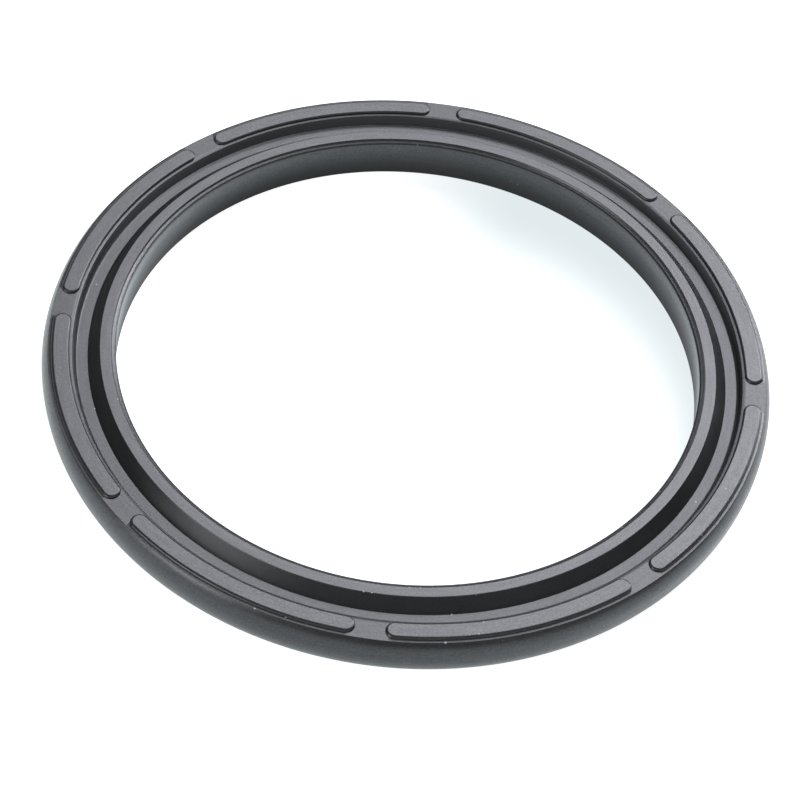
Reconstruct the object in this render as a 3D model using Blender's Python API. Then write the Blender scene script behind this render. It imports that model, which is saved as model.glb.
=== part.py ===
"""Pneumatic piston seal: one rubber ring, moulded in one piece.

The ring is a single turned section with eight raised pads on its outer lip.
Looking at the section from outside to inside there is a barrel-shaped outer
wall that wipes the cylinder tube, a flat land that carries the pads, an open
groove with a rounded foot, a steep flank, the flat inner lip, a narrow rim one
small step below that lip, and the bore with a sealing band that stands in from
a relieved wall. The heel is flat.

Metres, +Z up. The origin is at the centre of the ring on the plane of the
heel, and +X runs through the middle of a gap between two pads.
"""

import math

import bmesh
import bpy
from mathutils import Vector

MM = 0.001

# Outer lip: the wall that runs on the tube, and the land above it
TUBE_BORE = 100.0 * MM          # inside diameter of the tube; the land ends on it
BARREL_BULGE = 0.9 * MM         # the free barrel stands out this far past the land
BARREL_DROP = 2.5 * MM          # from the land down to the widest place
HEEL_TUCK = 1.6 * MM            # the barrel comes in this far on its way to the heel
LAND_WIDTH = 3.3 * MM
LAND_BEVEL_RUN = 0.5 * MM       # the land's inner edge slopes gently to the groove
LAND_BEVEL_DROP = 0.1 * MM
BODY_HEIGHT = 6.2 * MM          # from the heel up to the land

# Groove between the lips
GROOVE_WALL_RUN = 0.45 * MM     # the outer wall leans in this far as it goes down
GROOVE_DEPTH = 1.4 * MM         # from the land to the foot of that wall
GROOVE_FLOOR_WIDTH = 1.7 * MM
GROOVE_FLOOR_FALL = 0.03 * MM   # the floor falls this far towards the flank

# Inner lip and bore
FLANK_RUN = 1.65 * MM
LIP_RISE = 0.3 * MM             # the inner lip stands this far above the land
LIP_WIDTH = 1.5 * MM
LIP_STEP_RUN = 0.14 * MM        # steep step from the inner lip down to the rim
LIP_STEP_DROP = 0.28 * MM
RIM_WIDTH = 0.32 * MM
RIM_FALL = 0.08 * MM            # the rim falls this far towards the bore
BAND_BEVEL_RUN = 0.26 * MM      # bevel from the rim to the sealing band
BAND_BEVEL_DROP = 0.13 * MM
BAND_HEIGHT = 0.5 * MM          # upright band that seals on the piston
BORE_RELIEF = 0.15 * MM         # the bore wall stands back this far from the band
BORE_RELIEF_HEIGHT = 2.2 * MM

# Pads on the land
PAD_COUNT = 8
PAD_HEIGHT = 0.36 * MM
PAD_GAP = 3.9 * MM              # clear length between the feet of two pads
PAD_OUTER_MARGIN = 0.37 * MM    # land left showing outside the pads
PAD_INNER_MARGIN = 0.36 * MM    # land left showing inside the pads
PAD_OUTER_ROUND = 0.45 * MM     # the outer side curves in this far up to the flat top
PAD_INNER_ROUND = 0.33 * MM
PAD_ROOT = 0.3 * MM             # how deep a pad's body reaches into the land

# Rounds of the section's corners
CREST_ROUND = 0.12 * MM         # edges of the land and of the inner lip
GROOVE_FOOT_ROUND = 0.4 * MM
FLANK_FOOT_ROUND = 0.15 * MM
BAND_EDGE_ROUND = 0.06 * MM
HEEL_EDGE_ROUND = 0.35 * MM

# Fineness of the faceted solid
RING_STEPS = 96
BARREL_STEPS = 5
TUCK_STEPS = 6
RELIEF_STEPS = 4
PAD_ARC_STEPS = 10
PAD_END_STEPS = 6
PAD_ROUND_STEPS = 3

# Places that follow from the sizes above
LAND_OUTER = TUBE_BORE / 2
LAND_INNER = LAND_OUTER - LAND_WIDTH
BARREL_RADIUS = LAND_OUTER + BARREL_BULGE
BARREL_LEVEL = BODY_HEIGHT - BARREL_DROP
HEEL_OUTER = BARREL_RADIUS - HEEL_TUCK
GROOVE_WALL_FOOT = LAND_INNER - GROOVE_WALL_RUN
FLANK_FOOT = GROOVE_WALL_FOOT - GROOVE_FLOOR_WIDTH
FLANK_FOOT_LEVEL = BODY_HEIGHT - GROOVE_DEPTH - GROOVE_FLOOR_FALL
LIP_OUTER = FLANK_FOOT - FLANK_RUN
LIP_INNER = LIP_OUTER - LIP_WIDTH
LIP_LEVEL = BODY_HEIGHT + LIP_RISE
RIM_OUTER = LIP_INNER - LIP_STEP_RUN
RIM_LEVEL = LIP_LEVEL - LIP_STEP_DROP
RIM_INNER = RIM_OUTER - RIM_WIDTH
RIM_EDGE_LEVEL = RIM_LEVEL - RIM_FALL
BAND_RADIUS = RIM_INNER - BAND_BEVEL_RUN
BAND_TOP = RIM_EDGE_LEVEL - BAND_BEVEL_DROP
BAND_BOTTOM = BAND_TOP - BAND_HEIGHT
HEEL_BORE = BAND_RADIUS + BORE_RELIEF
PAD_FOOT_OUTER = LAND_OUTER - PAD_OUTER_MARGIN
PAD_FOOT_INNER = LAND_INNER + PAD_INNER_MARGIN
PAD_CENTRE_LINE = (PAD_FOOT_OUTER + PAD_FOOT_INNER) / 2
PAD_FOOT_WIDTH = PAD_FOOT_OUTER - PAD_FOOT_INNER

SHARP_EDGE_ANGLE = math.radians(30)
RUBBER_COLOUR = (0.03, 0.03, 0.032, 1.0)
RUBBER_ROUGHNESS = 0.42


def clear_scene():
    for item in list(bpy.data.objects):
        bpy.data.objects.remove(item, do_unlink=True)


def rubber_material():
    material = bpy.data.materials.new("black_rubber")
    material.use_nodes = True
    shader = material.node_tree.nodes["Principled BSDF"]
    shader.inputs["Base Color"].default_value = RUBBER_COLOUR
    shader.inputs["Roughness"].default_value = RUBBER_ROUGHNESS
    shader.inputs["Metallic"].default_value = 0.0
    return material


def rounded_corner(before, corner, after, radius, steps):
    """Points of an arc that rounds a corner, no longer than its sides allow."""
    to_before = before - corner
    to_after = after - corner
    half_angle = to_before.angle(to_after) / 2
    longest_reach = 0.45 * min(to_before.length, to_after.length)
    reach = min(radius / math.tan(half_angle), longest_reach)
    start = corner + to_before.normalized() * reach
    end = corner + to_after.normalized() * reach
    points = []
    for step in range(steps + 1):
        share = step / steps
        # a circle's arc between two tangents, written as a rational curve
        weight = math.sin(half_angle)
        first = (1 - share) ** 2
        middle = 2 * share * (1 - share) * weight
        last = share ** 2
        total = first + middle + last
        points.append((start * first + corner * middle + end * last) / total)
    return points


def barrel_wall():
    """Outer wall from the land down to the widest place and in to the heel."""
    points = []
    sweep_radius = (BARREL_BULGE ** 2 + BARREL_DROP ** 2) / (2 * BARREL_BULGE)
    sweep_angle = math.asin(BARREL_DROP / sweep_radius)
    for step in range(1, BARREL_STEPS):
        angle = sweep_angle * (1 - step / BARREL_STEPS)
        radius = BARREL_RADIUS - sweep_radius * (1 - math.cos(angle))
        points.append(Vector((radius, BARREL_LEVEL + sweep_radius * math.sin(angle))))
    for step in range(TUCK_STEPS + 1):
        angle = math.pi / 2 * step / TUCK_STEPS
        radius = HEEL_OUTER + HEEL_TUCK * math.cos(angle)
        points.append(Vector((radius, BARREL_LEVEL * (1 - math.sin(angle)))))
    return points


def bore_relief():
    """Bore wall from its straight part up and in to the sealing band."""
    points = []
    sweep_radius = (BORE_RELIEF ** 2 + BORE_RELIEF_HEIGHT ** 2) / (2 * BORE_RELIEF)
    sweep_angle = math.asin(BORE_RELIEF_HEIGHT / sweep_radius)
    straight_top = BAND_BOTTOM - BORE_RELIEF_HEIGHT
    for step in range(RELIEF_STEPS):
        angle = sweep_angle * step / RELIEF_STEPS
        radius = HEEL_BORE - sweep_radius * (1 - math.cos(angle))
        points.append(Vector((radius, straight_top + sweep_radius * math.sin(angle))))
    return points


def ring_section():
    """Closed outline of the section as (radius, height), from the land's outer edge."""
    land_edge = Vector((LAND_OUTER, BODY_HEIGHT))
    barrel = barrel_wall()
    heel_bore_edge = Vector((HEEL_BORE, 0.0))
    relief = bore_relief()
    band_bottom = Vector((BAND_RADIUS, BAND_BOTTOM))
    band_top = Vector((BAND_RADIUS, BAND_TOP))
    rim_edge = Vector((RIM_INNER, RIM_EDGE_LEVEL))
    step_foot = Vector((RIM_OUTER, RIM_LEVEL))
    lip_inner = Vector((LIP_INNER, LIP_LEVEL))
    lip_outer = Vector((LIP_OUTER, LIP_LEVEL))
    flank_foot = Vector((FLANK_FOOT, FLANK_FOOT_LEVEL))
    wall_foot = Vector((GROOVE_WALL_FOOT, BODY_HEIGHT - GROOVE_DEPTH))
    land_inner = Vector((LAND_INNER, BODY_HEIGHT - LAND_BEVEL_DROP))
    bevel_start = Vector((LAND_INNER + LAND_BEVEL_RUN, BODY_HEIGHT))

    outline = rounded_corner(bevel_start, land_edge, barrel[0], CREST_ROUND, 2)
    outline += barrel
    outline += rounded_corner(barrel[-1], heel_bore_edge, relief[0], HEEL_EDGE_ROUND, 2)
    outline += relief
    outline += [band_bottom]
    outline += rounded_corner(band_bottom, band_top, rim_edge, BAND_EDGE_ROUND, 1)
    outline += [rim_edge, step_foot]
    outline += rounded_corner(step_foot, lip_inner, lip_outer, CREST_ROUND, 2)
    outline += rounded_corner(lip_inner, lip_outer, flank_foot, CREST_ROUND, 2)
    outline += rounded_corner(lip_outer, flank_foot, wall_foot, FLANK_FOOT_ROUND, 2)
    outline += rounded_corner(flank_foot, wall_foot, land_inner, GROOVE_FOOT_ROUND, 4)
    outline += rounded_corner(wall_foot, land_inner, bevel_start, CREST_ROUND, 2)
    outline += [bevel_start]
    return outline


def turned_ring(name):
    """The section, spun once round the ring's axis."""
    mesh = bpy.data.meshes.new(name)
    shape = bmesh.new()
    corners = [shape.verts.new((point.x, 0.0, point.y)) for point in ring_section()]
    for index, corner in enumerate(corners):
        shape.edges.new((corner, corners[(index + 1) % len(corners)]))
    bmesh.ops.spin(
        shape,
        geom=shape.verts[:] + shape.edges[:],
        cent=(0.0, 0.0, 0.0),
        axis=(0.0, 0.0, 1.0),
        angle=math.tau,
        steps=RING_STEPS,
        use_merge=True,
    )
    bmesh.ops.recalc_face_normals(shape, faces=shape.faces[:])
    shape.to_mesh(mesh)
    shape.free()
    ring = bpy.data.objects.new(name, mesh)
    bpy.context.collection.objects.link(ring)
    return ring


def arc_points(centre, radius, start, sweep, steps):
    """Points along an arc in plan, with both ends."""
    points = []
    for step in range(steps + 1):
        heading = start + sweep * step / steps
        points.append(centre + radius * Vector((math.cos(heading), math.sin(heading))))
    return points


def pad_outline(middle_angle, outer_radius, inner_radius):
    """Plan of one pad: two arcs round the ring's axis, joined by half-round ends."""
    gap_angle = (PAD_GAP + PAD_FOOT_WIDTH) / PAD_CENTRE_LINE
    span = math.tau / PAD_COUNT - gap_angle
    half_width = (outer_radius - inner_radius) / 2
    centre_line = (outer_radius + inner_radius) / 2
    first_angle = middle_angle - span / 2
    last_angle = middle_angle + span / 2
    axis = Vector((0.0, 0.0))
    first_end = centre_line * Vector((math.cos(first_angle), math.sin(first_angle)))
    last_end = centre_line * Vector((math.cos(last_angle), math.sin(last_angle)))

    outline = arc_points(axis, outer_radius, first_angle, span, PAD_ARC_STEPS)
    outline += arc_points(last_end, half_width, last_angle, math.pi, PAD_END_STEPS)[1:-1]
    outline += arc_points(axis, inner_radius, last_angle, -span, PAD_ARC_STEPS)
    outline += arc_points(first_end, half_width, first_angle + math.pi, math.pi, PAD_END_STEPS)[1:-1]
    return outline


def pad_levels():
    """Outer radius, inner radius and height of each outline in a pad, from its root up."""
    levels = [(PAD_FOOT_OUTER, PAD_FOOT_INNER, BODY_HEIGHT - PAD_ROOT)]
    for step in range(PAD_ROUND_STEPS + 1):
        turn = math.pi / 2 * step / PAD_ROUND_STEPS
        outer_radius = PAD_FOOT_OUTER - PAD_OUTER_ROUND * (1 - math.cos(turn))
        inner_radius = PAD_FOOT_INNER + PAD_INNER_ROUND * (1 - math.cos(turn))
        levels.append((outer_radius, inner_radius, BODY_HEIGHT + PAD_HEIGHT * math.sin(turn)))
    return levels


def pads_body(name):
    """All the pads, as closed bodies that a union joins to the ring."""
    mesh = bpy.data.meshes.new(name)
    shape = bmesh.new()
    for number in range(PAD_COUNT):
        middle_angle = math.tau * (number + 0.5) / PAD_COUNT
        loops = []
        for outer_radius, inner_radius, level in pad_levels():
            outline = pad_outline(middle_angle, outer_radius, inner_radius)
            loops.append([shape.verts.new((point.x, point.y, level)) for point in outline])
        for lower, upper in zip(loops, loops[1:]):
            for index in range(len(lower)):
                following = (index + 1) % len(lower)
                shape.faces.new((lower[index], lower[following], upper[following], upper[index]))
        shape.faces.new(loops[-1])
        shape.faces.new(list(reversed(loops[0])))
    shape.to_mesh(mesh)
    shape.free()
    pads = bpy.data.objects.new(name, mesh)
    bpy.context.collection.objects.link(pads)
    pads.hide_render = True
    pads.display_type = "WIRE"
    return pads


def make_seal():
    seal = turned_ring("seal_ring")
    join = seal.modifiers.new("raised_pads", "BOOLEAN")
    join.operation = "UNION"
    join.solver = "EXACT"
    join.object = pads_body("raised_pads")
    seal.data.shade_smooth()
    seal.data.set_sharp_from_angle(angle=SHARP_EDGE_ANGLE)
    seal.data.materials.append(rubber_material())
    return seal


clear_scene()
make_seal()
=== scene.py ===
"""Looks of the pneumatic piston seal: a moulded ring of black satin rubber on a pale floor.

The ring is made here again from the same sizes as the solid, with true rounds,
so that its edges catch the light as moulded edges do. Metres, +Z up.
"""

import math

import bmesh
import bpy
from mathutils import Matrix, Vector


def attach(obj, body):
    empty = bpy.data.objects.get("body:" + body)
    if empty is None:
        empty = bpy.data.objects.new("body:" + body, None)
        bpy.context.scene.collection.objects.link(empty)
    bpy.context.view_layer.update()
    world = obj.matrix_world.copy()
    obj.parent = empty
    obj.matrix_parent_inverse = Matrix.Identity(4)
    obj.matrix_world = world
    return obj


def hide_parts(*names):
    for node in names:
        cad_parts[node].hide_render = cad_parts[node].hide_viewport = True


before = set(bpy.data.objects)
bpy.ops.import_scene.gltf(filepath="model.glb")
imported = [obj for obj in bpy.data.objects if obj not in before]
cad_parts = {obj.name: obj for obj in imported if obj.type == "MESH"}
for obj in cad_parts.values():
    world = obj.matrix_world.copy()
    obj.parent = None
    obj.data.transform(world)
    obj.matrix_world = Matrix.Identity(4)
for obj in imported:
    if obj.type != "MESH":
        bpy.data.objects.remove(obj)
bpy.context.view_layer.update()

MM = 0.001

# Outer lip
TUBE_BORE = 100.0 * MM
BARREL_BULGE = 0.9 * MM
BARREL_DROP = 2.5 * MM
HEEL_TUCK = 1.6 * MM
LAND_WIDTH = 3.3 * MM
LAND_BEVEL_RUN = 0.5 * MM
LAND_BEVEL_DROP = 0.1 * MM
BODY_HEIGHT = 6.2 * MM

# Groove between the lips
GROOVE_WALL_RUN = 0.45 * MM
GROOVE_DEPTH = 1.4 * MM
GROOVE_FLOOR_WIDTH = 1.7 * MM
GROOVE_FLOOR_FALL = 0.03 * MM

# Inner lip and bore
FLANK_RUN = 1.65 * MM
LIP_RISE = 0.3 * MM
LIP_WIDTH = 1.5 * MM
LIP_STEP_RUN = 0.14 * MM
LIP_STEP_DROP = 0.28 * MM
RIM_WIDTH = 0.32 * MM
RIM_FALL = 0.08 * MM
BAND_BEVEL_RUN = 0.26 * MM
BAND_BEVEL_DROP = 0.13 * MM
BAND_HEIGHT = 0.5 * MM
BORE_RELIEF = 0.15 * MM
BORE_RELIEF_HEIGHT = 2.2 * MM

# Pads on the land
PAD_COUNT = 8
PAD_HEIGHT = 0.36 * MM
PAD_GAP = 3.9 * MM
PAD_OUTER_MARGIN = 0.37 * MM
PAD_INNER_MARGIN = 0.36 * MM
PAD_OUTER_ROUND = 0.45 * MM
PAD_INNER_ROUND = 0.33 * MM
PAD_FOOT_FILLET = 0.02 * MM
PAD_ROOT = 0.3 * MM

# Rounds of the section's corners
LAND_EDGE_ROUND = 0.05 * MM
CREST_ROUND = 0.1 * MM
GROOVE_FOOT_ROUND = 0.4 * MM
FLANK_FOOT_ROUND = 0.12 * MM
BAND_EDGE_ROUND = 0.06 * MM
RIM_EDGE_ROUND = 0.08 * MM
LAND_BEVEL_ROUND = 0.3 * MM
RIM_FOOT_ROUND = 0.02 * MM
BAND_FOOT_ROUND = 0.08 * MM
HEEL_EDGE_ROUND = 0.35 * MM

# Fineness of the shown ring
RING_STEPS = 384
BARREL_STEPS = 14
TUCK_STEPS = 14
RELIEF_STEPS = 12
CREST_STEPS = 4
FOOT_STEPS = 10
PAD_ARC_STEPS = 44
PAD_END_STEPS = 16
PAD_ROUND_STEPS = 6
FILLET_STEPS = 2

# Places that follow from the sizes
LAND_OUTER = TUBE_BORE / 2
LAND_INNER = LAND_OUTER - LAND_WIDTH
BARREL_RADIUS = LAND_OUTER + BARREL_BULGE
BARREL_LEVEL = BODY_HEIGHT - BARREL_DROP
HEEL_OUTER = BARREL_RADIUS - HEEL_TUCK
GROOVE_WALL_FOOT = LAND_INNER - GROOVE_WALL_RUN
GROOVE_LEVEL = BODY_HEIGHT - GROOVE_DEPTH
FLANK_FOOT = GROOVE_WALL_FOOT - GROOVE_FLOOR_WIDTH
LIP_OUTER = FLANK_FOOT - FLANK_RUN
LIP_INNER = LIP_OUTER - LIP_WIDTH
LIP_LEVEL = BODY_HEIGHT + LIP_RISE
RIM_OUTER = LIP_INNER - LIP_STEP_RUN
RIM_LEVEL = LIP_LEVEL - LIP_STEP_DROP
RIM_INNER = RIM_OUTER - RIM_WIDTH
RIM_EDGE_LEVEL = RIM_LEVEL - RIM_FALL
BAND_RADIUS = RIM_INNER - BAND_BEVEL_RUN
BAND_TOP = RIM_EDGE_LEVEL - BAND_BEVEL_DROP
BAND_BOTTOM = BAND_TOP - BAND_HEIGHT
HEEL_BORE = BAND_RADIUS + BORE_RELIEF
PAD_TOP_LEVEL = BODY_HEIGHT + PAD_HEIGHT
PAD_FOOT_OUTER = LAND_OUTER - PAD_OUTER_MARGIN
PAD_FOOT_INNER = LAND_INNER + PAD_INNER_MARGIN
PAD_CENTRE_LINE = (PAD_FOOT_OUTER + PAD_FOOT_INNER) / 2
PAD_FOOT_WIDTH = PAD_FOOT_OUTER - PAD_FOOT_INNER

SHARP_EDGE_ANGLE = math.radians(32)
FLAT_WEIGHT = 80                     # pull of the large faces on the shading of their corners
JOINED_CORNERS = 0.002 * MM          # corners nearer than this are one
LONGEST_REACH = 0.45                 # of a side, that one round may take up

# Camera, as the photograph's view
IMAGE_SIDE = 800                     # pixels
SENSOR_WIDTH = 36.0                  # mm, as is the lens
LENS = 126.0
VIEW_DISTANCE = 0.38996
VIEW_ELEVATION = math.radians(48.28)
VIEW_TURN = math.radians(0.78)
VIEW_ROLL = math.radians(-7.0)
RING_IN_PICTURE = (9.64, -50.77)     # pixels from the picture's middle to the ring's centre
NEAREST_SEEN = 0.01
FURTHEST_SEEN = 20.0


def rounded_corner(before, corner, after, radius, steps):
    """Points of an arc that rounds a corner, no longer than its sides allow.

    The arc is a rational curve with the corner as its middle control point.
    """
    to_before = before - corner
    to_after = after - corner
    half_angle = to_before.angle(to_after) / 2
    longest_reach = LONGEST_REACH * min(to_before.length, to_after.length)
    reach = min(radius / math.tan(half_angle), longest_reach)
    start = corner + to_before.normalized() * reach
    end = corner + to_after.normalized() * reach
    weight = math.sin(half_angle)
    points = []
    for step in range(steps + 1):
        share = step / steps
        first = (1 - share) ** 2
        middle = 2 * share * (1 - share) * weight
        last = share ** 2
        total = first + middle + last
        points.append((start * first + corner * middle + end * last) / total)
    return points


def barrel_wall():
    """Outer wall from the land down to the widest place and in to the heel."""
    points = []
    sweep_radius = (BARREL_BULGE ** 2 + BARREL_DROP ** 2) / (2 * BARREL_BULGE)
    sweep_angle = math.asin(BARREL_DROP / sweep_radius)
    for step in range(1, BARREL_STEPS):
        angle = sweep_angle * (1 - step / BARREL_STEPS)
        radius = BARREL_RADIUS - sweep_radius * (1 - math.cos(angle))
        points.append(Vector((radius, BARREL_LEVEL + sweep_radius * math.sin(angle))))
    for step in range(TUCK_STEPS + 1):
        angle = math.pi / 2 * step / TUCK_STEPS
        radius = HEEL_OUTER + HEEL_TUCK * math.cos(angle)
        points.append(Vector((radius, BARREL_LEVEL * (1 - math.sin(angle)))))
    return points


def bore_relief():
    """Bore wall from its straight part up and in to the sealing band."""
    points = []
    sweep_radius = (BORE_RELIEF ** 2 + BORE_RELIEF_HEIGHT ** 2) / (2 * BORE_RELIEF)
    sweep_angle = math.asin(BORE_RELIEF_HEIGHT / sweep_radius)
    straight_top = BAND_BOTTOM - BORE_RELIEF_HEIGHT
    for step in range(RELIEF_STEPS):
        angle = sweep_angle * step / RELIEF_STEPS
        radius = HEEL_BORE - sweep_radius * (1 - math.cos(angle))
        points.append(Vector((radius, straight_top + sweep_radius * math.sin(angle))))
    return points


def ring_section():
    """Closed outline of the section as (radius, height), from the land's outer edge."""
    land_edge = Vector((LAND_OUTER, BODY_HEIGHT))
    barrel = barrel_wall()
    heel_bore_edge = Vector((HEEL_BORE, 0.0))
    relief = bore_relief()
    band_bottom = Vector((BAND_RADIUS, BAND_BOTTOM))
    band_top = Vector((BAND_RADIUS, BAND_TOP))
    rim_edge = Vector((RIM_INNER, RIM_EDGE_LEVEL))
    step_foot = Vector((RIM_OUTER, RIM_LEVEL))
    lip_inner = Vector((LIP_INNER, LIP_LEVEL))
    lip_outer = Vector((LIP_OUTER, LIP_LEVEL))
    flank_foot = Vector((FLANK_FOOT, GROOVE_LEVEL - GROOVE_FLOOR_FALL))
    wall_foot = Vector((GROOVE_WALL_FOOT, GROOVE_LEVEL))
    land_inner = Vector((LAND_INNER, BODY_HEIGHT - LAND_BEVEL_DROP))
    bevel_start = Vector((LAND_INNER + LAND_BEVEL_RUN, BODY_HEIGHT))

    outline = rounded_corner(bevel_start, land_edge, barrel[0], LAND_EDGE_ROUND, CREST_STEPS)
    outline += barrel
    outline += rounded_corner(barrel[-1], heel_bore_edge, relief[0], HEEL_EDGE_ROUND, CREST_STEPS)
    outline += relief
    outline += rounded_corner(relief[-1], band_bottom, band_top, BAND_FOOT_ROUND, CREST_STEPS)
    outline += rounded_corner(band_bottom, band_top, rim_edge, BAND_EDGE_ROUND, CREST_STEPS)
    outline += rounded_corner(band_top, rim_edge, step_foot, RIM_EDGE_ROUND, FILLET_STEPS)
    outline += rounded_corner(rim_edge, step_foot, lip_inner, RIM_FOOT_ROUND, FILLET_STEPS)
    outline += rounded_corner(step_foot, lip_inner, lip_outer, CREST_ROUND, CREST_STEPS)
    outline += rounded_corner(lip_inner, lip_outer, flank_foot, CREST_ROUND, CREST_STEPS)
    outline += rounded_corner(lip_outer, flank_foot, wall_foot, FLANK_FOOT_ROUND, CREST_STEPS)
    outline += rounded_corner(flank_foot, wall_foot, land_inner, GROOVE_FOOT_ROUND, FOOT_STEPS)
    outline += rounded_corner(wall_foot, land_inner, bevel_start, CREST_ROUND, CREST_STEPS)
    outline += rounded_corner(land_inner, bevel_start, land_edge, LAND_BEVEL_ROUND, FILLET_STEPS)
    return outline


def turned_ring(name):
    """The section, spun once round the ring's axis."""
    mesh = bpy.data.meshes.new(name)
    shape = bmesh.new()
    corners = [shape.verts.new((point.x, 0.0, point.y)) for point in ring_section()]
    for index, corner in enumerate(corners):
        shape.edges.new((corner, corners[(index + 1) % len(corners)]))
    bmesh.ops.spin(
        shape,
        geom=shape.verts[:] + shape.edges[:],
        cent=(0.0, 0.0, 0.0),
        axis=(0.0, 0.0, 1.0),
        angle=math.tau,
        steps=RING_STEPS,
        use_merge=True,
    )
    bmesh.ops.recalc_face_normals(shape, faces=shape.faces[:])
    shape.to_mesh(mesh)
    shape.free()
    ring = bpy.data.objects.new(name, mesh)
    bpy.context.collection.objects.link(ring)
    return ring


def arc_points(centre, radius, start, sweep, steps):
    """Points along an arc in plan, with both ends."""
    points = []
    for step in range(steps + 1):
        heading = start + sweep * step / steps
        points.append(centre + radius * Vector((math.cos(heading), math.sin(heading))))
    return points


def pad_outline(middle_angle, outer_radius, inner_radius):
    """Plan of one pad: two arcs round the ring's axis, joined by half-round ends."""
    gap_angle = (PAD_GAP + PAD_FOOT_WIDTH) / PAD_CENTRE_LINE
    span = math.tau / PAD_COUNT - gap_angle
    half_width = (outer_radius - inner_radius) / 2
    centre_line = (outer_radius + inner_radius) / 2
    first_angle = middle_angle - span / 2
    last_angle = middle_angle + span / 2
    axis = Vector((0.0, 0.0))
    first_end = centre_line * Vector((math.cos(first_angle), math.sin(first_angle)))
    last_end = centre_line * Vector((math.cos(last_angle), math.sin(last_angle)))

    half_turn = math.pi
    outline = arc_points(axis, outer_radius, first_angle, span, PAD_ARC_STEPS)
    outline += arc_points(last_end, half_width, last_angle, half_turn, PAD_END_STEPS)[1:-1]
    outline += arc_points(axis, inner_radius, last_angle, -span, PAD_ARC_STEPS)
    turned_round = first_angle + half_turn
    outline += arc_points(first_end, half_width, turned_round, half_turn, PAD_END_STEPS)[1:-1]
    return outline


def pad_levels():
    """Outer radius, inner radius and height of each outline in a pad, from its root up."""
    spread = PAD_FOOT_FILLET
    levels = [(PAD_FOOT_OUTER + spread, PAD_FOOT_INNER - spread, BODY_HEIGHT - PAD_ROOT)]
    for step in range(FILLET_STEPS + 1):
        turn = math.pi / 2 * step / FILLET_STEPS
        spread = PAD_FOOT_FILLET * (1 - math.sin(turn))
        level = BODY_HEIGHT + PAD_FOOT_FILLET * (1 - math.cos(turn))
        levels.append((PAD_FOOT_OUTER + spread, PAD_FOOT_INNER - spread, level))
    side_foot = BODY_HEIGHT + PAD_FOOT_FILLET
    for step in range(1, PAD_ROUND_STEPS + 1):
        turn = math.pi / 2 * step / PAD_ROUND_STEPS
        outer_radius = PAD_FOOT_OUTER - PAD_OUTER_ROUND * (1 - math.cos(turn))
        inner_radius = PAD_FOOT_INNER + PAD_INNER_ROUND * (1 - math.cos(turn))
        level = side_foot + (PAD_TOP_LEVEL - side_foot) * math.sin(turn)
        levels.append((outer_radius, inner_radius, level))
    return levels


def raised_pads(name):
    """All the pads, as closed bodies that a union joins to the ring."""
    mesh = bpy.data.meshes.new(name)
    shape = bmesh.new()
    for number in range(PAD_COUNT):
        middle_angle = math.tau * (number + 0.5) / PAD_COUNT
        loops = []
        for outer_radius, inner_radius, level in pad_levels():
            outline = pad_outline(middle_angle, outer_radius, inner_radius)
            loops.append([shape.verts.new((point.x, point.y, level)) for point in outline])
        for lower, upper in zip(loops, loops[1:]):
            for index in range(len(lower)):
                following = (index + 1) % len(lower)
                shape.faces.new((lower[index], lower[following], upper[following], upper[index]))
        shape.faces.new(loops[-1])
        shape.faces.new(list(reversed(loops[0])))
    shape.to_mesh(mesh)
    shape.free()
    pads = bpy.data.objects.new(name, mesh)
    bpy.context.collection.objects.link(pads)
    return pads


def applied(piece):
    """Gives the piece the mesh that its modifiers make, and drops the modifiers."""
    graph = bpy.context.evaluated_depsgraph_get()
    made = bpy.data.meshes.new_from_object(piece.evaluated_get(graph), depsgraph=graph)
    piece.modifiers.clear()
    piece.data = made
    return piece


def without_slivers(piece):
    """Joins corners that a union has left almost in one place."""
    shape = bmesh.new()
    shape.from_mesh(piece.data)
    bmesh.ops.remove_doubles(shape, verts=shape.verts[:], dist=JOINED_CORNERS)
    bmesh.ops.dissolve_degenerate(shape, edges=shape.edges[:], dist=JOINED_CORNERS)
    shape.to_mesh(piece.data)
    shape.free()
    return piece


def moulded_ring():
    """The whole seal in one piece, with its pads grown out of the land."""
    ring = turned_ring("moulded_seal_ring")
    pads = raised_pads("pads_to_join")
    join = ring.modifiers.new("pads", "BOOLEAN")
    join.operation = "UNION"
    join.solver = "EXACT"
    join.object = pads
    without_slivers(applied(ring))
    bpy.data.objects.remove(pads, do_unlink=True)
    ring.data.shade_smooth()
    ring.data.set_sharp_from_angle(angle=SHARP_EDGE_ANGLE)
    flats = ring.modifiers.new("even_flats", "WEIGHTED_NORMAL")
    flats.mode = "FACE_AREA"
    flats.weight = FLAT_WEIGHT
    flats.keep_sharp = True
    return applied(ring)


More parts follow.
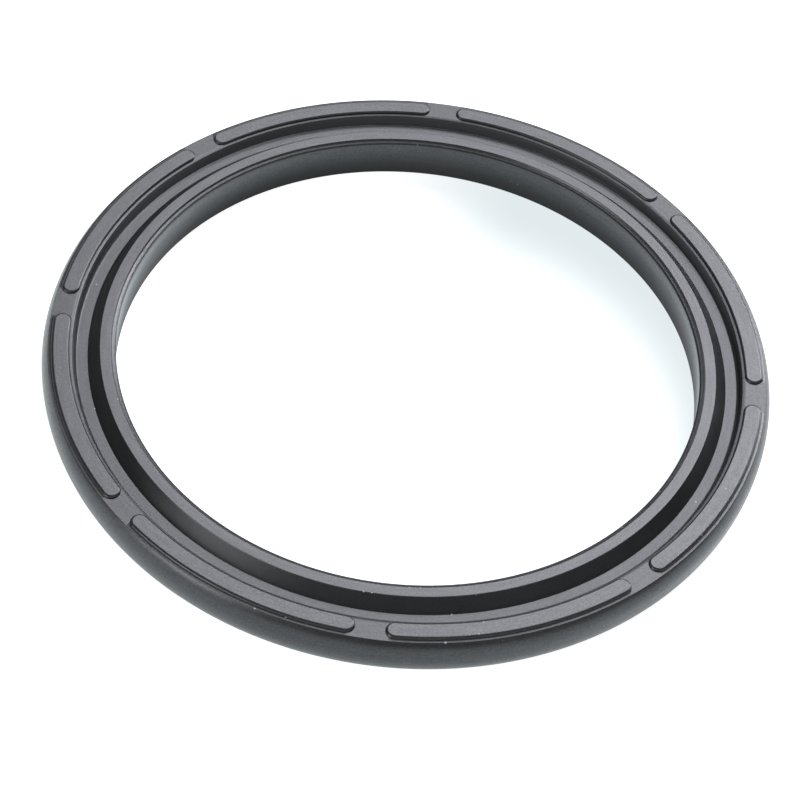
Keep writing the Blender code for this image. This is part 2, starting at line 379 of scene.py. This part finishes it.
class Shade:
    """A value, colour or vector in a material. Arithmetic on it adds the nodes for it."""

    def __init__(self, tree, socket=None):
        self.tree = tree
        self.socket = socket

    def node(self, kind, settings=None, sockets=None, output=0):
        """Adds a node: its settings first, then the values or links of its sockets."""
        node = self.tree.nodes.new(kind)
        for name, value in (settings or {}).items():
            setattr(node, name, value)
        for name, value in (sockets or {}).items():
            if isinstance(value, Shade):
                self.tree.links.new(value.socket, node.inputs[name])
            else:
                node.inputs[name].default_value = value
        return Shade(self.tree, node.outputs[output])

    def beside(self, output):
        """Another output of the node that this value comes from."""
        return Shade(self.tree, self.socket.node.outputs[output])

    def maths(self, operation, *values):
        return self.node("ShaderNodeMath", {"operation": operation}, dict(enumerate(values)))

    def __add__(self, other):
        return self.maths("ADD", self, other)

    def __radd__(self, other):
        return self.maths("ADD", other, self)

    def __sub__(self, other):
        return self.maths("SUBTRACT", self, other)

    def __rsub__(self, other):
        return self.maths("SUBTRACT", other, self)

    def __mul__(self, other):
        return self.maths("MULTIPLY", self, other)

    def __rmul__(self, other):
        return self.maths("MULTIPLY", other, self)

    def __truediv__(self, other):
        return self.maths("DIVIDE", self, other)

    def __pow__(self, other):
        return self.maths("POWER", self, other)

    def larger(self, other):
        return self.maths("MAXIMUM", self, other)

    def step_up(self, low, high):
        """0 below low, 1 above high, smooth between them."""
        ends = {"Value": self, "From Min": low, "From Max": high}
        return self.node("ShaderNodeMapRange", {"interpolation_type": "SMOOTHSTEP"}, ends)

    def past(self, edge, fade):
        """0 before an edge and 1 past it. fade starts and ends this far from the edge."""
        start, end = fade
        return self.step_up(edge + start, edge + end)

    def between(self, low_edge, high_edge, reach):
        """1 between two edges and 0 outside. reach moves both edges, then blurs them."""
        low_shift, high_shift, blur = reach
        low = low_edge + low_shift
        high = high_edge + high_shift
        return self.step_up(low - blur, low + blur) * (1 - self.step_up(high - blur, high + blur))

    def noise(self, place, scale, detail, roughness):
        """Soft random pattern over place, scale to the millimetre."""
        sockets = {"Vector": place, "Scale": scale, "Detail": detail, "Roughness": roughness}
        return self.node("ShaderNodeTexNoise", {}, sockets)

    def blend(self, amount, low, high):
        """Colour low where amount is 0, and high where it is 1."""
        # 6, 7 and 2 are the node's two colour inputs and its colour output
        return self.node("ShaderNodeMix", {"data_type": "RGBA"}, {0: amount, 6: low, 7: high}, 2)

    def place_in_mm(self):
        """Place on the object in millimetres, as a vector and as its three parts."""
        metres = self.node("ShaderNodeTexCoord", output="Object")
        to_mm = {0: metres, 1: (1 / MM, 1 / MM, 1 / MM)}
        place = self.node("ShaderNodeVectorMath", {"operation": "MULTIPLY"}, to_mm)
        across = self.node("ShaderNodeSeparateXYZ", {}, {0: place}, "X")
        return place, across, across.beside("Y"), across.beside("Z")


# Rubber: colours, gloss and fine pattern
DEEP_RUBBER = (0.011, 0.0114, 0.0126, 1.0)
BLOOMED_RUBBER = (0.018, 0.0186, 0.0204, 1.0)
# painted light: a paler colour for the back half of the groove's outer wall
PAINTED_LIGHT_RUBBER = (0.075, 0.076, 0.08, 1.0)
# pale colour of dust, also used for the painted glints
PALE_DUST_AND_GLINT = (0.42, 0.42, 0.43, 1.0)
BASE_SPECULAR = 0.3
BASE_ROUGHNESS = 0.38
ROUGHNESS_SPREAD = 0.1
DUST_ROUGHNESS = 0.2
DUST_COVER = 0.6
GRAIN = (4.0, 2.0, 0.7)            # scale to the mm, detail and roughness of a noise
CLOUD = (0.16, 3.0, 0.55)
STREAK = (3.0, 2.0, 0.5)
STREAK_TURN = 4.0                  # mm to the radian: low, so that streaks run round the ring
NOISE_MIDDLE = 0.5
CLOUD_IN_BLOOM = 0.6
GRAIN_IN_BLOOM = 0.4
BLOOM_FADE = (0.3, 0.7)
RELIEF_STRENGTH = 0.2
RELIEF_DEPTH = 0.04 * MM
STREAK_RELIEF = 0.25               # heights against the grain's
DUST_RELIEF = 1.2
NIB_AND_GLINT_RELIEF = 2.0

# Smooth skin: its gloss, and how much of it each zone has
SKIN_ROUGHNESS = 0.31
SKIN_LEVEL = 0.9
SKIN_GRAIN = 1.6
SKIN_STREAK = 0.5
TOP_SHINE = 1.0
LAND_SHINE = 0.84
FLOOR_SHINE = 0.75
WALL_SHINE = 1.0
FLANK_SHINE = 0.2

# Fades between the zones: start and end in mm past the edge
OFF_GROOVE_WALL = (0.2, 0.4)
UP_TO_PAD_TOP = (-0.16, -0.06)
UP_TO_LIP_TOP = (-0.12, -0.04)
UP_FROM_FLOOR = (0.25, 0.5)
UP_TO_RIM = (-0.2, -0.1)
GROOVE_MOUTH = (-0.1, 0.0)
OUT_OF_BORE = (-0.3, 0.0)
UP_FROM_HEEL = (0.5, 5.0)

# Zones between two edges: shift of the low edge, shift of the high edge and blur, in mm
LAND_REACH = (-0.06, 0.05, 0.03)
FLOOR_REACH = (-0.03, 0.2, 0.04)
RIM_REACH = (0.0, -0.04, 0.02)
GROOVE_REACH = (0.02, 0.3, 0.03)
# where the painted light lies on the back half of the groove's outer wall
PAINTED_LIGHT_REACH = (-0.1, 0.1, 0.1)
PAINTED_LIGHT_HEIGHT_REACH = (0.2, -0.1, 0.1)
PAINTED_LIGHT_HALF = (0.1, 0.5)           # sine of the turn past the ring's two sides to its back

# Dust: the cells it may lie in, the size of a speck and the few cells that have one
DUST_CELLS = 1.1
SPECK_EDGE = (0.05, 0.12)
SPECK_PICK = (0.972, 0.982)

# Moulding nibs, bits of dust and painted glints at places that the photo shows: pale spots with a
# bump
NIB_AND_GLINT_EDGE = (0.6, 1.4)              # times a spot's size
NIBS_AND_PAINTED_GLINTS = (          # turn in degrees, then radius, height and size in mm
    (268.0, 42.9, 6.5, 0.11),      # outer edge of the inner lip
    (269.4, 42.9, 6.5, 0.09),
    (276.0, 41.4, 6.5, 0.10),      # its inner edge
    (277.9, 41.4, 6.5, 0.09),
    (203.0, 41.5, 6.5, 0.09),
    (283.2, 44.6, 4.8, 0.13),      # groove
    (202.4, 44.6, 4.8, 0.09),
    (334.9, 45.4, 4.8, 0.10),
    (172.9, 45.4, 4.8, 0.10),
    (287.6, 47.4, 6.56, 0.10),     # pads
    (286.4, 49.2, 6.5, 0.10),
    (285.0, 49.2, 6.5, 0.08),
    (328.0, 49.4, 6.4, 0.12),
    (338.4, 48.3, 6.56, 0.10),
    (281.3, 49.95, 6.2, 0.15),     # outer edge of the land
    (252.5, 49.95, 6.2, 0.11),
    (257.3, 49.6, 6.25, 0.10),
    (331.6, 40.9, 6.15, 0.10),     # rim
    (319.9, 40.9, 6.15, 0.10),
)


def smooth_skin(radius, height):
    """How much smooth skin shows: most on the flats and outer walls, little on the flank."""
    land = BODY_HEIGHT / MM
    lip_top = LIP_LEVEL / MM
    groove_outer = GROOVE_WALL_FOOT / MM

    outside_groove = radius.past(groove_outer, OFF_GROOVE_WALL)
    on_pad = height.past(PAD_TOP_LEVEL / MM, UP_TO_PAD_TOP) * outside_groove
    on_lip = height.past(lip_top, UP_TO_LIP_TOP) * (1 - outside_groove)
    on_land = height.between(land, land, LAND_REACH) * outside_groove
    near_floor = 1 - height.past(GROOVE_LEVEL / MM, UP_FROM_FLOOR)
    on_floor = near_floor * radius.between(FLANK_FOOT / MM, groove_outer, FLOOR_REACH)
    on_rim = radius.between(0.0, RIM_OUTER / MM, RIM_REACH) * height.past(land, UP_TO_RIM)
    flats = on_pad.larger(on_lip).larger(on_rim) * TOP_SHINE
    flats = flats.larger(on_land * LAND_SHINE).larger(on_floor * FLOOR_SHINE)

    below_mouth = 1 - height.past(lip_top, GROOVE_MOUTH)
    in_groove = radius.between(LIP_OUTER / MM, groove_outer, GROOVE_REACH) * below_mouth
    in_bore = 1 - radius.past(LIP_INNER / MM, OUT_OF_BORE)
    dull_bore = in_bore * (1 - height.step_up(*UP_FROM_HEEL))
    walls = (1 - in_groove) * WALL_SHINE * (1 - dull_bore) + in_groove * FLANK_SHINE
    return flats.larger(walls * (1 - on_land))


def painted_light_on_back_wall(radius, along, height):
    """Painted light: the back half of the groove's outer wall, made paler in colour."""
    on_wall = radius.between(GROOVE_WALL_FOOT / MM, LAND_INNER / MM, PAINTED_LIGHT_REACH)
    on_wall *= height.between(GROOVE_LEVEL / MM, BODY_HEIGHT / MM, PAINTED_LIGHT_HEIGHT_REACH)
    return on_wall * (along / radius).step_up(*PAINTED_LIGHT_HALF)


def settled_dust(start, place):
    """Small pale specks, in a few of the cells of a loose pattern."""
    cells = {"Vector": place, "Scale": DUST_CELLS, "Randomness": 1.0}
    away = start.node("ShaderNodeTexVoronoi", {"feature": "F1"}, cells)
    cell = {"Vector": away.beside("Position")}
    pick = start.node("ShaderNodeTexWhiteNoise", {"noise_dimensions": "3D"}, cell)
    return (1 - away.step_up(*SPECK_EDGE)) * pick.step_up(*SPECK_PICK)


def nibs_and_painted_glints(start, place):
    """1 at each nib and painted glint, and 0 elsewhere."""
    nibs_and_glints = 0.0
    for turn, reach, level, size in NIBS_AND_PAINTED_GLINTS:
        heading = math.radians(turn)
        ends = {0: place, 1: (reach * math.cos(heading), reach * math.sin(heading), level)}
        away = start.node("ShaderNodeVectorMath", {"operation": "DISTANCE"}, ends, "Value")
        # a pale spot: partly a real nib, partly a painted glint on an edge
        marked_spot = 1 - away.step_up(size * NIB_AND_GLINT_EDGE[0], size * NIB_AND_GLINT_EDGE[1])
        nibs_and_glints = start.maths("MAXIMUM", nibs_and_glints, marked_spot)
    return nibs_and_glints


def black_rubber():
    """Satin black rubber: a smooth skin on the flats, duller on the flank and low in the bore."""
    material = bpy.data.materials.new("black_rubber_finish")
    material.use_nodes = True
    tree = material.node_tree
    shader = tree.nodes["Principled BSDF"]
    start = Shade(tree)

    place, across, along, height = start.place_in_mm()
    radius = (across * across + along * along) ** 0.5
    turn = start.maths("ARCTAN2", along, across)
    unrolled = start.node("ShaderNodeCombineXYZ", {}, {0: radius, 1: turn * STREAK_TURN, 2: height})
    grain = start.noise(place, *GRAIN)
    cloud = start.noise(place, *CLOUD)
    streak = start.noise(unrolled, *STREAK)
    grain_swing = grain - NOISE_MIDDLE
    cloud_swing = cloud - NOISE_MIDDLE
    streak_swing = streak - NOISE_MIDDLE
    dust = settled_dust(start, place)
    nibs_and_glints = nibs_and_painted_glints(start, place)

    bloom = (cloud * CLOUD_IN_BLOOM + grain * GRAIN_IN_BLOOM).step_up(*BLOOM_FADE)
    body = start.blend(bloom, DEEP_RUBBER, BLOOMED_RUBBER)
    # painted light: the back half of the groove's outer wall is made paler
    body = start.blend(painted_light_on_back_wall(radius, along, height), body, PAINTED_LIGHT_RUBBER)
    # dust and the painted glints at the listed spots share one pale colour
    colour = start.blend((dust * DUST_COVER).larger(nibs_and_glints), body, PALE_DUST_AND_GLINT)
    roughness = BASE_ROUGHNESS + cloud_swing * ROUGHNESS_SPREAD + grain_swing * ROUGHNESS_SPREAD
    roughness += dust * DUST_ROUGHNESS
    skin_swing = SKIN_LEVEL + grain_swing * SKIN_GRAIN + streak_swing * SKIN_STREAK
    skin = smooth_skin(radius, height) * skin_swing - dust

    raised = grain + streak * STREAK_RELIEF + dust * DUST_RELIEF + nibs_and_glints * NIB_AND_GLINT_RELIEF
    relief = start.node("ShaderNodeBump", {}, {
        "Strength": RELIEF_STRENGTH, "Distance": RELIEF_DEPTH, "Height": raised})

    shader.inputs["Specular IOR Level"].default_value = BASE_SPECULAR
    shader.inputs["Coat Roughness"].default_value = SKIN_ROUGHNESS
    tree.links.new(colour.socket, shader.inputs["Base Color"])
    tree.links.new(roughness.socket, shader.inputs["Roughness"])
    tree.links.new(skin.socket, shader.inputs["Coat Weight"])
    tree.links.new(relief.socket, shader.inputs["Normal"])
    return material


# Floor and background
WHITE = (1.0, 1.0, 1.0, 1.0)
FLOOR_SIDE = 6.0
FLOOR_CLEARANCE = 0.02 * MM                  # keeps the floor off the heel's plane
PAPER = (0.78, 0.8, 0.8, 1.0)
FLOOR_LIFT = 0.87
MIRRORED_LIFT = 0.52
MIRRORED_TINT = (0.88, 0.97, 1.0, 1.0)
ROOM_TINT = (0.95, 0.97, 1.0, 1.0)
ROOM_LEVEL = 0.14

# Soft shade on the floor inside the ring, in mm
HOLE_SHADE = (0.76, 0.825, 0.845, 1.0)
BRIGHT_SPOT_ALONG = -12.0
BRIGHT_SPOT_FADE = (25.0, 49.0)
SHADED_SIDE = (-16.0, 14.0)
HOLE_EDGE = (42.0, 44.0)


def pale_floor():
    """A wide pale floor. The camera sees it as white paper, with the ring's shadow kept."""
    bpy.ops.mesh.primitive_plane_add(size=FLOOR_SIDE, location=(0.0, 0.0, -FLOOR_CLEARANCE))
    floor = bpy.context.object
    floor.name = "pale_floor"
    material = bpy.data.materials.new("pale_paper")
    material.use_nodes = True
    tree = material.node_tree
    tree.nodes.clear()
    start = Shade(tree)
    seen = start.node("ShaderNodeLightPath", output="Is Camera Ray")
    mirrored = seen.beside("Is Glossy Ray") + seen.beside("Is Transmission Ray")
    strength = seen * FLOOR_LIFT + mirrored * MIRRORED_LIFT
    paper = start.node("ShaderNodeBsdfDiffuse", {}, {"Color": PAPER})
    tint = start.blend(seen, MIRRORED_TINT, WHITE)
    lift = start.node("ShaderNodeEmission", {}, {"Color": tint, "Strength": strength})
    lit_paper = start.node("ShaderNodeAddShader", {}, {0: paper, 1: lift})

    _, across, along, _ = start.place_in_mm()
    radius = (across * across + along * along) ** 0.5
    from_bright_spot = (across * across + (along - BRIGHT_SPOT_ALONG) ** 2) ** 0.5
    in_hole = 1 - radius.step_up(*HOLE_EDGE)
    shade = from_bright_spot.step_up(*BRIGHT_SPOT_FADE) * across.step_up(*SHADED_SIDE)
    shade *= in_hole * seen
    dimmed = start.node("ShaderNodeEmission", {}, {"Color": HOLE_SHADE, "Strength": 1.0})
    shown = start.node("ShaderNodeMixShader", {}, {0: shade, 1: lit_paper, 2: dimmed})
    output = tree.nodes.new("ShaderNodeOutputMaterial")
    tree.links.new(shown.socket, output.inputs["Surface"])
    floor.data.materials.append(material)
    return floor


def room_light():
    """Dim even light from all round, behind a white background."""
    world = bpy.data.worlds.new("pale_room")
    bpy.context.scene.world = world
    world.use_nodes = True
    tree = world.node_tree
    tree.nodes.clear()
    start = Shade(tree)
    seen = start.node("ShaderNodeLightPath", output="Is Camera Ray")
    dim = start.node("ShaderNodeBackground", {}, {"Color": ROOM_TINT, "Strength": ROOM_LEVEL})
    white = start.node("ShaderNodeBackground", {}, {"Color": WHITE, "Strength": 1.0})
    shown = start.node("ShaderNodeMixShader", {}, {0: seen, 1: dim, 2: white})
    output = tree.nodes.new("ShaderNodeOutputWorld")
    tree.links.new(shown.socket, output.inputs["Surface"])


# Lamps
WINDOW_LIGHT = (0.91, 0.93, 1.0)
WALL_LIGHT = (0.93, 0.95, 1.0)
FILL_LIGHT = (0.95, 0.97, 1.0)
LAMP_DISTANCE = 0.9
FILL_DISTANCE = 1.2


def soft_box(name, turn, elevation, width, height, radiance, colour, distance=LAMP_DISTANCE):
    """An even rectangular lamp that faces the ring. turn is measured from +X, in degrees."""
    lamp = bpy.data.lights.new(name, "AREA")
    lamp.shape = "RECTANGLE"
    lamp.size = width
    lamp.size_y = height
    lamp.energy = radiance * math.pi * width * height
    lamp.color = colour
    box = bpy.data.objects.new(name, lamp)
    turn = math.radians(turn)
    elevation = math.radians(elevation)
    flat = math.cos(elevation)
    way = Vector((flat * math.cos(turn), flat * math.sin(turn), math.sin(elevation)))
    box.location = way * distance
    box.rotation_euler = way.to_track_quat("Z", "Y").to_euler()
    box.visible_camera = False
    bpy.context.collection.objects.link(box)
    return box


def studio_lamps():
    """Soft boxes, placed where the photo's flats and walls mirror their light."""
    soft_box("back_window", turn=84, elevation=53, width=0.53, height=0.46,
             radiance=6.0, colour=WINDOW_LIGHT)
    soft_box("window_edge", turn=60, elevation=40, width=0.11, height=0.3,
             radiance=20.0, colour=WINDOW_LIGHT)
    soft_box("far_wall", turn=42, elevation=18, width=0.34, height=0.4,
             radiance=4.5, colour=WALL_LIGHT)
    soft_box("left_screen", turn=218, elevation=20, width=0.44, height=0.42,
             radiance=5.2, colour=WALL_LIGHT)
    soft_box("right_screen", turn=328, elevation=28, width=0.7, height=0.4,
             radiance=0.5, colour=WALL_LIGHT)
    soft_box("camera_side_fill", turn=270, elevation=45, width=1.6, height=1.0,
             radiance=0.45, colour=FILL_LIGHT, distance=FILL_DISTANCE)


def place_camera():
    """Camera of the photograph: the ring's centre lies off the picture's middle."""
    focal = LENS / SENSOR_WIDTH * IMAGE_SIDE
    ring_way = Vector((RING_IN_PICTURE[0] / focal, -RING_IN_PICTURE[1] / focal, -1.0)).normalized()
    aim = Vector((0.0, 0.0, -1.0)).rotation_difference(ring_way).to_matrix().to_4x4()
    tilt = math.pi / 2 - VIEW_ELEVATION
    place = Matrix.Translation((0.0, 0.0, BODY_HEIGHT)) @ Matrix.Rotation(VIEW_TURN, 4, "Z")
    place @= Matrix.Rotation(tilt, 4, "X") @ Matrix.Translation((0.0, 0.0, VIEW_DISTANCE))
    place @= Matrix.Rotation(-VIEW_ROLL, 4, "Z") @ aim.transposed()
    camera_data = bpy.data.cameras.new("photo_camera")
    camera_data.lens = LENS
    camera_data.sensor_width = SENSOR_WIDTH
    camera_data.clip_start = NEAREST_SEEN
    camera_data.clip_end = FURTHEST_SEEN
    camera = bpy.data.objects.new("photo_camera", camera_data)
    bpy.context.collection.objects.link(camera)
    camera.matrix_world = place
    bpy.context.scene.camera = camera


place_camera()
ring = moulded_ring()
ring.data.materials.clear()
ring.data.materials.append(black_rubber())
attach(ring, "root")
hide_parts("seal_ring")

pale_floor()
room_light()
studio_lamps()
bpy.context.scene.view_settings.view_transform = "Standard"
